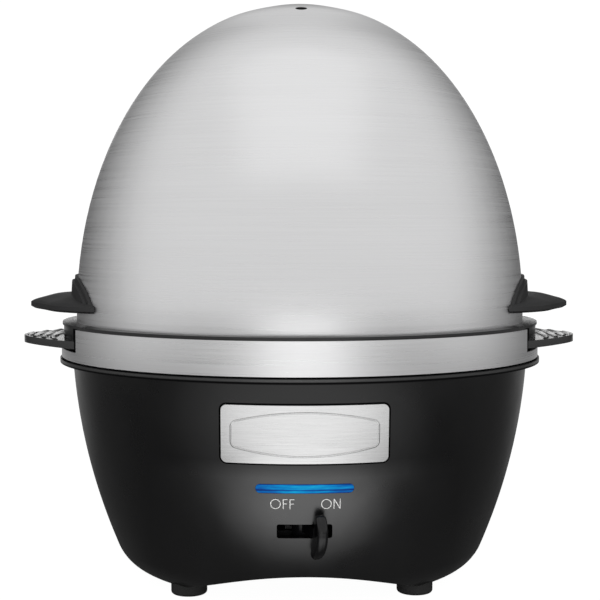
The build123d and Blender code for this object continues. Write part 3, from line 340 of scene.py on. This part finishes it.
def clouded(name, colour, darker, gloss, cloud, grain, **constants):
    """A finish whose tone and gloss drift in clouds over a fine grain.

    gloss is the lowest and highest roughness, cloud is its noise's scale, detail and roughness, and
    grain is its scale, strength and depth.
    """
    cloud_scale, cloud_detail, cloud_rough = cloud
    grain_scale, grain_strength, grain_depth = grain
    material, graph, shader = new_material(name, **constants)
    place = graph.position()[0]
    clouds = graph.noise(place, cloud_scale, cloud_detail, cloud_rough)
    fine = graph.noise(place, grain_scale, detail=2.0)
    shade = drift(graph, clouds, colour, darker, low=0.35, high=0.65)
    graph.link(shade, shader.inputs["Base Color"])
    graph.link(graph.spread(clouds, 0.3, 0.7, *gloss), shader.inputs["Roughness"])
    graph.link(graph.bump(fine, grain_strength, grain_depth), shader.inputs["Normal"])
    return material


def worn_metal(name, colour, roughness):
    """Plain pressed or turned metal with a cloudy, lightly scuffed face."""
    gloss = (roughness - 0.06, roughness + 0.08)
    cloud = (400.0, 4.0, 0.6)
    grain = (1600.0, 0.2, 0.00003)
    return clouded(name, colour, 0.85, gloss, cloud, grain, Metallic=1.0)


def soft_rubber(name, colour):
    gloss = (0.72, 0.86)
    cloud = (300.0, 3.0, 0.5)
    grain = (2500.0, 0.4, 0.00006)
    return clouded(name, colour, 0.8, gloss, cloud, grain, Specular_IOR_Level=0.3)


def printed_ink(name, colour):
    gloss = (0.45, 0.6)
    cloud = (900.0, 3.0, 0.5)
    grain = (5000.0, 0.2, 0.00002)
    return clouded(name, colour, 0.88, gloss, cloud, grain, Specular_IOR_Level=0.4)


def lit_lens(name):
    """Blue diffusing lens lit from behind, with paler streaks, a dark streak below and dark ends."""
    half_length = 0.0168
    half_height = 0.0016
    face_y = -0.0815
    strength = 0.82
    streaks_along = 110.0
    streaks_down = 1.7
    middle_share = 0.26
    streak_share = 0.75
    offset = 0.1
    dark_streak_drop = 0.32
    dark_streak_narrowness = 3.6
    dark_streak_depth = 0.42
    edge_sharpness = 8.0
    edge_depth = 0.4
    material, graph, shader = new_material(name, Roughness=0.25, Specular_IOR_Level=0.1)
    place, x, y, z = graph.position()
    drop = graph.math("DIVIDE", graph.math("SUBTRACT", z, lens_level), half_height)
    stretched = graph.combine(
        graph.math("MULTIPLY", x, streaks_along), 0.0, graph.math("MULTIPLY", drop, streaks_down)
    )
    streak = graph.math("MULTIPLY", graph.noise(stretched, rough=0.6), streak_share)
    away = graph.math("DIVIDE", graph.math("ABSOLUTE", x), half_length)
    middle = graph.math("SUBTRACT", 1.0, graph.math("MULTIPLY", away, away), clamp=True)
    glow = graph.math("ADD", graph.math("MULTIPLY", middle, middle_share), streak)
    glow = graph.math("SUBTRACT", glow, offset)
    off_streak = graph.math("ABSOLUTE", graph.math("ADD", drop, dark_streak_drop))
    off_streak = graph.math("MULTIPLY", off_streak, dark_streak_narrowness)
    dark_streak = graph.math("SUBTRACT", 1.0, off_streak, clamp=True)
    glow = graph.math("SUBTRACT", glow, graph.math("MULTIPLY", dark_streak, dark_streak_depth), clamp=True)
    edge = graph.math("POWER", graph.math("ABSOLUTE", drop), edge_sharpness, clamp=True)
    glow = graph.math("SUBTRACT", glow, graph.math("MULTIPLY", edge, edge_depth), clamp=True)
    surface_stops = ((0.1, (0.0, 0.02, 0.12)), (0.8, (0.0, 0.1, 0.3)))
    light_stops = (
        (0.05, (0.0, 0.012, 0.07)),
        (0.25, (0.0, 0.055, 0.23)),
        (0.45, (0.0, 0.19, 0.39)),
        (0.7, (0.012, 0.46, 0.54)),
        (0.9, (0.12, 0.68, 0.7)),
    )
    graph.link(graph.ramp(glow, surface_stops), shader.inputs["Base Color"])
    graph.link(graph.ramp(glow, light_stops), shader.inputs["Emission Color"])
    outside = graph.math("LESS_THAN", y, face_y)
    graph.link(graph.math("MULTIPLY", outside, strength), shader.inputs["Emission Strength"])
    fine = graph.noise(place, scale=900.0, detail=2.0)
    graph.link(graph.bump(fine, 0.1, 0.00003), shader.inputs["Normal"])
    return material


def circuit_board_finish(name):
    """Green laminate with a net of tracks."""
    material, graph, shader = new_material(name)
    place = graph.position()[0]
    cells = graph.node("ShaderNodeTexVoronoi", feature="DISTANCE_TO_EDGE")
    cells.inputs["Scale"].default_value = 600.0
    graph.link(place, cells.inputs["Vector"])
    tracks = graph.ramp(cells.outputs[0], ((0.03, (0.02, 0.16, 0.06)), (0.07, (0.006, 0.09, 0.03))))
    graph.link(tracks, shader.inputs["Base Color"])
    gloss = graph.spread(graph.noise(place, scale=200.0), 0.3, 0.7, 0.35, 0.5)
    graph.link(gloss, shader.inputs["Roughness"])
    graph.link(graph.bump(cells.outputs[0], 0.2, 0.00004), shader.inputs["Normal"])
    return material


# The base's plastic carries painted shade in the badge groove and beside the flange's edge, and painted
# highlights on that edge and round the light and the lever
base_black = moulded_plastic("base_black_plastic", (0.002, 0.002, 0.0022), 0.3, painted_base_light=True)
rack_black = moulded_plastic("rack_black_plastic", (0.006, 0.006, 0.0064), 0.4, polished_beyond=0.078)
handle_black = moulded_plastic("handle_black_plastic", (0.035, 0.035, 0.0355), 0.5, level=0.03)
lever_black = moulded_plastic("lever_black_plastic", (0.003, 0.003, 0.0033), 0.18, level=0.35)
cover_black = moulded_plastic("cover_black_plastic", (0.012, 0.012, 0.0125), 0.5)
lid_steel = turned_metal("lid_brushed_steel", (0.745, 0.745, 0.75), 0.3, 0.6, vent=(-0.0268, 0.00215))
band_steel = turned_metal("band_brushed_steel", (0.8, 0.8, 0.805), 0.3, 0.6)
pan_steel = turned_metal("pan_turned_steel", (0.56, 0.56, 0.56), 0.28, 0.4, slope=1.0, line=0.0008)
plate_metal = straight_brushed_metal("badge_brushed_metal", (0.75, 0.75, 0.75), 0.3)
border_metal = straight_brushed_metal("badge_border_metal", (0.6, 0.6, 0.6), 0.2)
screw_steel = worn_metal("screw_zinc_steel", (0.55, 0.55, 0.53), 0.32)
bright_steel = worn_metal("sheet_spring_steel", (0.58, 0.58, 0.6), 0.3)
shield_metal = worn_metal("shield_aluminised_steel", (0.62, 0.62, 0.61), 0.42)
element_metal = worn_metal("element_grey_sheath", (0.30, 0.31, 0.31), 0.45)
plated_brass = worn_metal("terminal_plated_brass", (0.68, 0.54, 0.28), 0.3)
phenolic_case = moulded_plastic("thermostat_phenolic", (0.06, 0.045, 0.035), 0.42)
seal_rubber = soft_rubber("seal_grey_silicone", (0.3, 0.31, 0.32))
feet_rubber = soft_rubber("feet_dark_rubber", (0.02, 0.02, 0.02))
washer_silicone = soft_rubber("washer_black_silicone", (0.03, 0.03, 0.03))
slider_nylon = moulded_plastic("slider_dark_nylon", (0.02, 0.02, 0.02), 0.5, level=0.3)
inner_black = moulded_plastic("inner_black_nylon", (0.006, 0.006, 0.006), 0.5, level=0.3)
block_nylon = moulded_plastic("terminal_block_nylon", (0.5, 0.49, 0.45), 0.42)
gland_black = moulded_plastic("gland_black_nylon", (0.012, 0.012, 0.012), 0.45)
emitter_clear = moulded_plastic("emitter_blue_resin", (0.25, 0.45, 0.85), 0.15, grain=0.00001)
lens_blue = lit_lens("lens_blue_lit")
board_green = circuit_board_finish("circuit_board")
ink_white = printed_ink("ink_white", (0.8, 0.8, 0.79))


def dress(material, *names):
    for name in names:
        slots = nodes[name].data.materials
        slots.clear()
        slots.append(material)


dress(base_black, "base_housing", "upper_frame")
dress(cover_black, "bottom_cover")
dress(band_steel, "steel_band")
dress(lid_steel, "lid_dome")
dress(rack_black, "egg_rack")
dress(handle_black, "lid_handle_right", "lid_handle_left")
dress(lever_black, "switch_lever")
dress(plate_metal, "badge_plate")
dress(lens_blue, "light_lens")
dress(pan_steel, "heating_pan")
dress(seal_rubber, "pan_seal")
dress(feet_rubber, "foot_front_left", "foot_front_right", "foot_rear_left", "foot_rear_right")
dress(washer_silicone, "lid_handle_washers")
dress(screw_steel, "frame_screws", "board_screws", "bracket_screws", "cover_screws", "foot_screws")
dress(screw_steel, "lid_handle_screws", "shield_nuts", "lever_pin")
dress(element_metal, "heating_element")
dress(plated_brass, "element_terminals", "thermal_fuse")
dress(bright_steel, "thermostat_clip", "fuse_clip")
dress(shield_metal, "heat_shield")
dress(phenolic_case, "thermostat")
dress(board_green, "light_board")
dress(emitter_clear, "light_leds")
dress(inner_black, "switch_body", "switch_bracket", "gland_nut")
dress(slider_nylon, "switch_slider")
dress(block_nylon, "terminal_block")
dress(gland_black, "cord_gland")


# Mesh helpers

# The base's side, as in the CAD: an arc turned round the Z axis, with its centre at this radius and height
side_arc = 0.2248
side_centre_radius = -0.13490
side_centre_height = 0.09888


def on_wall(x, z, proud):
    """The point of the base's front wall at x and z, moved out by proud."""
    radius = side_centre_radius + math.sqrt(side_arc ** 2 - (side_centre_height - z) ** 2) + proud
    return Vector((x, -math.sqrt(radius ** 2 - x ** 2), z))


def side_of(points, index, closed):
    """The unit vector square to a line of points (x, z) at one of them."""
    count = len(points)
    ahead = points[(index + 1) % count] if closed or index + 1 < count else points[index]
    behind = points[index - 1] if closed or index > 0 else points[index]
    away = Vector((ahead[0] - behind[0], ahead[1] - behind[1])).normalized()
    return Vector((-away[1], away[0]))


def skin(bm, rows, closed=False):
    """Faces between each row of points and the next, and between the last and the first if closed."""
    count = len(rows)
    for index in range(count if closed else count - 1):
        here = rows[index]
        there = rows[(index + 1) % count]
        for j in range(len(here) - 1):
            bm.faces.new((here[j], here[j + 1], there[j + 1], there[j]))


def mesh_from(bm, name, smooth=False):
    mesh = bpy.data.meshes.new(name)
    bm.to_mesh(mesh)
    bm.free()
    for face in mesh.polygons:
        face.use_smooth = smooth
    return mesh


def add_piece(name, mesh, body, material):
    piece = add_object(name, mesh)
    piece.data.materials.append(material)
    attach(piece, body)


# Lettering on the front wall

ink_proud = 0.0001
stroke_width = 0.00028
letter_bottom = 0.0396
letter_height = 0.0036
# The F's middle bar, as shares of the letter's height and width
bar_height = 0.53
bar_inset = 0.12


def letter_stroke(bm, points, closed=False):
    """A printed stroke of even width along points (x, z), laid on the wall."""
    rows = []
    for index, (x, z) in enumerate(points):
        side = side_of(points, index, closed) * stroke_width / 2
        left = on_wall(x + side[0], z + side[1], ink_proud)
        right = on_wall(x - side[0], z - side[1], ink_proud)
        rows.append([bm.verts.new(left), bm.verts.new(right)])
    skin(bm, rows, closed)


def straight(start, end):
    """Points (x, z) along a straight line, close enough to follow the wall."""
    steps = 6
    return [
        (start[0] + (end[0] - start[0]) * i / steps, start[1] + (end[1] - start[1]) * i / steps)
        for i in range(steps + 1)
    ]


def letter(bm, kind, left, width):
    low = letter_bottom
    high = letter_bottom + letter_height
    right = left + width
    stem = left + stroke_width / 2
    if kind == "O":
        middle = (left + width / 2, letter_bottom + letter_height / 2)
        reach = ((width - stroke_width) / 2, (letter_height - stroke_width) / 2)
        steps = 40
        turns = [math.tau * i / steps for i in range(steps)]
        ring = [(middle[0] + reach[0] * math.cos(t), middle[1] + reach[1] * math.sin(t)) for t in turns]
        letter_stroke(bm, ring, closed=True)
    if kind == "F":
        top = high - stroke_width / 2
        bar = low + bar_height * letter_height
        bar_end = right - bar_inset * width
        letter_stroke(bm, straight((stem, low), (stem, high)))
        letter_stroke(bm, straight((stem, top), (right, top)))
        letter_stroke(bm, straight((stem, bar), (bar_end, bar)))
    if kind == "N":
        other = right - stroke_width / 2
        letter_stroke(bm, straight((stem, low), (stem, high)))
        letter_stroke(bm, straight((other, low), (other, high)))
        letter_stroke(bm, straight((stem, high), (other, low)))


def lettering(name, letters):
    """A word as one flat piece that faces the front, from letters (kind, left edge, width)."""
    bm = bmesh.new()
    for kind, left, width in letters:
        letter(bm, kind, left, width)
    bmesh.ops.recalc_face_normals(bm, faces=bm.faces)
    for face in bm.faces:
        if face.normal.y > 0:
            face.normal_flip()
    add_piece(name, mesh_from(bm, name), "base", ink_white)


lettering("off_lettering", (("O", -0.0118, 0.0036), ("F", -0.0075, 0.0016), ("F", -0.0052, 0.0016)))
lettering("on_lettering", (("O", 0.0056, 0.0036), ("N", 0.0099, 0.0024)))


# The badge plate's border

def border_outline():
    """A closed barrel shape round the plate's middle: bowed above and below, with round corners."""
    half_width = 0.0252
    half_height = 0.0076
    end_height = 0.0048
    corner = 0.0022
    bow_steps = 40
    corner_steps = 6
    corner_start = 15
    corner_sweep = 75
    straight_half = half_width - corner
    top = []
    for i in range(bow_steps + 1):
        x = -straight_half + 2 * straight_half * i / bow_steps
        top.append((x, half_height - (half_height - end_height) * (x / straight_half) ** 2))
    right = []
    for i in range(1, corner_steps + 1):
        turn = math.radians(corner_start + corner_sweep * i / corner_steps)
        right.append((straight_half + corner * math.sin(turn), end_height - corner + corner * math.cos(turn)))
    left = [(-x, z) for x, z in reversed(right)]
    upper = left + top + right
    return upper + [(x, -z) for x, z in reversed(upper)]


def badge_border():
    """A raised round line along the outline, its feet a little sunk in the plate's face."""
    face_proud = 0.0006
    line_half_width = 0.00034
    line_height = 0.0003
    sunk = 0.00002
    across = 8
    points = border_outline()
    bm = bmesh.new()
    rows = []
    for index, (x, z) in enumerate(points):
        side = side_of(points, index, closed=True)
        row = []
        for j in range(across + 1):
            turn = math.pi * j / across
            shift = line_half_width * math.cos(turn)
            proud = face_proud + (line_height * math.sin(turn) - sunk)
            row.append(bm.verts.new(on_wall(x + side[0] * shift, badge_level + z + side[1] * shift, proud)))
        rows.append(row)
    skin(bm, rows, closed=True)
    bmesh.ops.recalc_face_normals(bm, faces=bm.faces)
    mesh = mesh_from(bm, "badge_border", smooth=True)
    add_piece("badge_border", mesh, "base", border_metal)


badge_border()


# Floor and backdrop: one sweep, white to the camera, with pools of light that only reflections see

def sweep_mesh():
    front_edge = -0.9
    back = 2.4
    curve = 0.4
    top_edge = 1.1
    half_width = 0.85
    steps = 12
    profile = [(front_edge, 0.0), (back, 0.0)]
    for i in range(1, steps + 1):
        turn = math.pi / 2 * i / steps
        profile.append((back + curve * math.sin(turn), curve - curve * math.cos(turn)))
    profile.append((back + curve, top_edge))
    bm = bmesh.new()
    rows = [[bm.verts.new((x, y, z)) for x in (-half_width, half_width)] for y, z in profile]
    skin(bm, rows)
    return mesh_from(bm, "sweep", smooth=True)


def pool_of_light(graph, x, y, centre, half_width, half_depth, strength):
    """An oval on the floor round (0, centre), of this strength in its middle and fading to 0 outside."""
    across = graph.math("DIVIDE", x, half_width)
    along = graph.math("DIVIDE", graph.math("SUBTRACT", y, centre), half_depth)
    away = graph.math("SQRT", graph.square_sum(across, along))
    return graph.spread(away, low=0.6, high=1.3, at_low=strength, at_high=0.0)


def reflected_light(graph, x, y, z):
    """What reflections see of the sweep: the pools on the floor, a bright belt on the wall, a faint glow."""
    faint_glow = 0.03
    wide = pool_of_light(graph, x, y, centre=-0.32, half_width=0.3, half_depth=0.17, strength=1.0)
    near = pool_of_light(graph, x, y, centre=-0.138, half_width=0.072, half_depth=0.039, strength=1.5)
    far = pool_of_light(graph, x, y, centre=-0.75, half_width=0.35, half_depth=0.4, strength=0.5)
    back = pool_of_light(graph, x, y, centre=0.85, half_width=0.6, half_depth=0.6, strength=0.5)
    belt_bottom = graph.spread(z, low=0.28, high=0.48, at_low=0.0, at_high=1.6)
    belt_top = graph.spread(z, low=0.6, high=0.8, at_low=1.0, at_high=0.15)
    belt = graph.math("MULTIPLY", belt_bottom, belt_top)
    pools = graph.math("MAXIMUM", graph.math("MAXIMUM", wide, near), far)
    pools = graph.math("ADD", pools, back)
    return graph.math("ADD", graph.math("ADD", pools, belt), faint_glow)


def sweep():
    white_level = 0.97
    mesh = sweep_mesh()
    stage = add_object("sweep", mesh)
    material = bpy.data.materials.new("sweep_paper")
    material.use_nodes = True
    graph = Graph(material.node_tree)
    place, x, y, z = graph.position()
    path = graph.node("ShaderNodeLightPath").outputs
    diffuse = graph.node("ShaderNodeBsdfDiffuse")
    dark_paper = (0.12, 0.12, 0.12)
    pale_paper = (0.14, 0.14, 0.14)
    paper = graph.ramp(graph.noise(place, scale=3.0), ((0.3, dark_paper), (0.7, pale_paper)))
    graph.link(paper, diffuse.inputs["Color"])
    seen = graph.math("MAXIMUM", path["Is Camera Ray"], path["Is Transmission Ray"])
    mirrored = graph.math("MULTIPLY", path["Is Glossy Ray"], reflected_light(graph, x, y, z))
    strength = graph.math("MULTIPLY", graph.math("ADD", seen, mirrored), white_level)
    glow = graph.node("ShaderNodeEmission")
    graph.link(strength, glow.inputs["Strength"])
    both = graph.node("ShaderNodeAddShader")
    graph.link(diffuse.outputs[0], both.inputs[0])
    graph.link(glow.outputs[0], both.inputs[1])
    # From below, the camera looks through the floor
    underside = graph.node("ShaderNodeNewGeometry").outputs["Backfacing"]
    from_below = graph.math("MULTIPLY", underside, path["Is Camera Ray"])
    mixed = graph.node("ShaderNodeMixShader")
    graph.link(from_below, mixed.inputs[0])
    graph.link(both.outputs[0], mixed.inputs[1])
    graph.link(graph.node("ShaderNodeBsdfTransparent").outputs[0], mixed.inputs[2])
    output = graph.node("ShaderNodeOutputMaterial")
    graph.link(mixed.outputs[0], output.inputs[0])
    mesh.materials.append(material)


sweep()


# Light: a pale studio all round, a soft lamp above, a low card in front and a fill lamp before the base

def studio_world():
    world = bpy.data.worlds.new("studio")
    bpy.context.scene.world = world
    world.use_nodes = True
    graph = Graph(world.node_tree)
    direction = graph.node("ShaderNodeTexCoord").outputs["Generated"]
    parts = graph.node("ShaderNodeSeparateXYZ")
    graph.link(direction, parts.inputs[0])
    sideways, backward, up = parts.outputs
    path = graph.node("ShaderNodeLightPath").outputs
    shed = graph.spread(backward, low=-1.0, high=1.0, at_low=0.8, at_high=0.32)
    # Reflections see a bright front that darkens to the back, and a pale ceiling over the middle
    tilt = 0.5
    lowered = graph.math("SUBTRACT", backward, graph.math("MULTIPLY", up, tilt))
    front = graph.spread(lowered, low=-0.1, high=0.85, at_low=0.864, at_high=0.04)
    from_middle = graph.math("ABSOLUTE", sideways)
    ceiling = graph.spread(from_middle, low=0.15, high=0.5, at_low=0.76, at_high=0.0)
    overhead = graph.spread(up, low=0.2, high=0.55, at_low=0.0, at_high=1.0)
    mirrored = graph.math("MAXIMUM", front, graph.math("MULTIPLY", ceiling, overhead))
    mirrored = graph.math("MULTIPLY", mirrored, path["Is Glossy Ray"])
    seen = graph.math("MAXIMUM", path["Is Camera Ray"], path["Is Transmission Ray"])
    others = graph.math("SUBTRACT", 1.0, path["Is Glossy Ray"])
    level = graph.math("ADD", graph.math("MULTIPLY", shed, others), mirrored)
    background = graph.node("ShaderNodeBackground")
    background.inputs["Color"].default_value = (1.0, 1.0, 1.0, 1.0)
    graph.link(graph.math("MAXIMUM", level, seen), background.inputs["Strength"])
    output = graph.node("ShaderNodeOutputWorld")
    graph.link(background.outputs[0], output.inputs[0])


def soft_lamp(name, place, target, width, height, power, mirrored=True):
    data = bpy.data.lights.new(name, "AREA")
    data.shape = "RECTANGLE"
    data.size = width
    data.size_y = height
    data.energy = power
    lamp = add_object(name, data)
    lamp.location = place
    lamp.rotation_euler = (Vector(target) - Vector(place)).to_track_quat("-Z", "Y").to_euler()
    lamp.visible_camera = False
    lamp.visible_glossy = mirrored


studio_world()
soft_lamp("top_lamp", (0.0, -0.6, 1.45), target=(0.0, 0.0, 0.12), width=1.6, height=1.6, power=1.4)
soft_lamp("front_card", (0.0, -1.05, -0.12), target=(0.0, 0.0, 0.02), width=0.7, height=0.34, power=0.75)
soft_lamp(
    "fill_lamp", (0.0, -0.75, 0.1), target=(0.0, -0.08, 0.05),
    width=0.5, height=0.16, power=3.3, mirrored=False,
)
